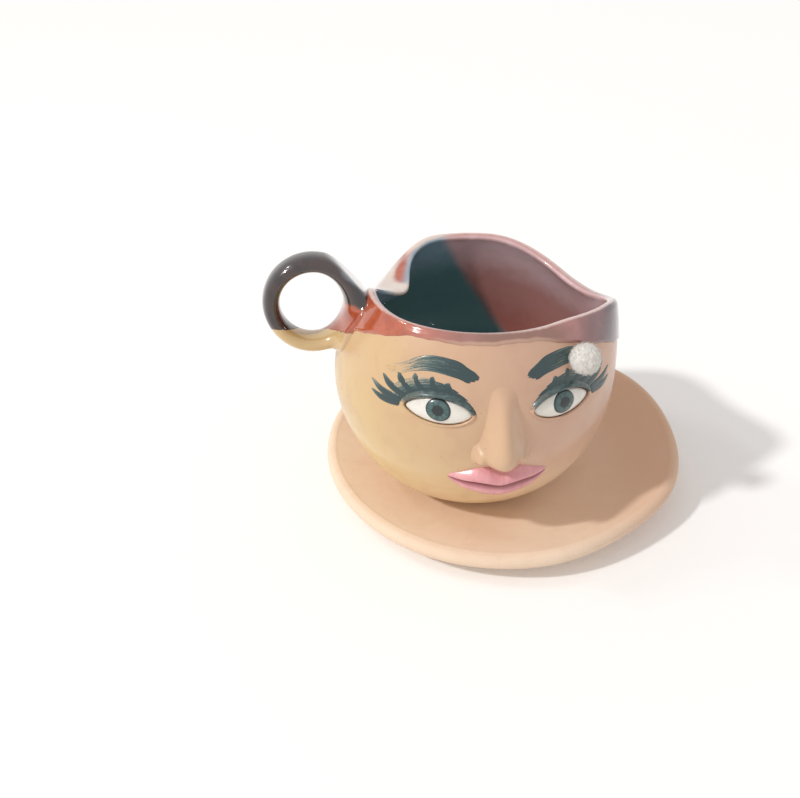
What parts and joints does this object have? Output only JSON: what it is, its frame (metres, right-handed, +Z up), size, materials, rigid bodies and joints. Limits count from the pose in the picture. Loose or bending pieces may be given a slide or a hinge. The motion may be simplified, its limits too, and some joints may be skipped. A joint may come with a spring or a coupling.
{
  "type": "coffee cup and saucer",
  "caption": "Hand-made clay coffee cup modelled as a head under a brown glazed cap, with a loop handle, a wavy pinched lip and an unglazed dish saucer.",
  "frame": {"origin": "middle of the saucer's flat underside", "axes": "+Z up, the modelled face looks towards -Y, the handle points to -X"},
  "size_m": [0.1306, 0.1156, 0.083],
  "materials": {
    "biscuit_clay": "unglazed, matte, fine sandy grain",
    "glazed_clay": "peach clay under a thin clear gloss glaze",
    "brown_glaze": "thick glossy brown glaze, paler where it breaks over edges",
    "white_slip": "white slip under clear gloss glaze",
    "dark_slip": "dark teal slip under clear gloss glaze",
    "pink_slip": "pink slip under clear gloss glaze",
    "white_wool": "matte felted wool, finely creased"
  },
  "bodies": {
    "saucer_body": {"saucer": "biscuit_clay"},
    "cup_body": {"cup_bowl": "glazed_clay", "brown_glaze": "brown_glaze", "handle": "brown_glaze", "nose": "glazed_clay", "left_eye_white": "white_slip", "right_eye_white": "white_slip", "left_pupil": "dark_slip", "right_pupil": "dark_slip", "left_eyelids": "glazed_clay", "right_eyelids": "glazed_clay", "upper_lip": "pink_slip", "lower_lip": "pink_slip", "pompom": "white_wool"}
  },
  "joints": [
    {"name": "cup_lift", "type": "slide", "parent": "saucer_body", "child": "cup_body", "axis": [0, 0, 1], "range_m": [0, 0.09]}
  ]
}
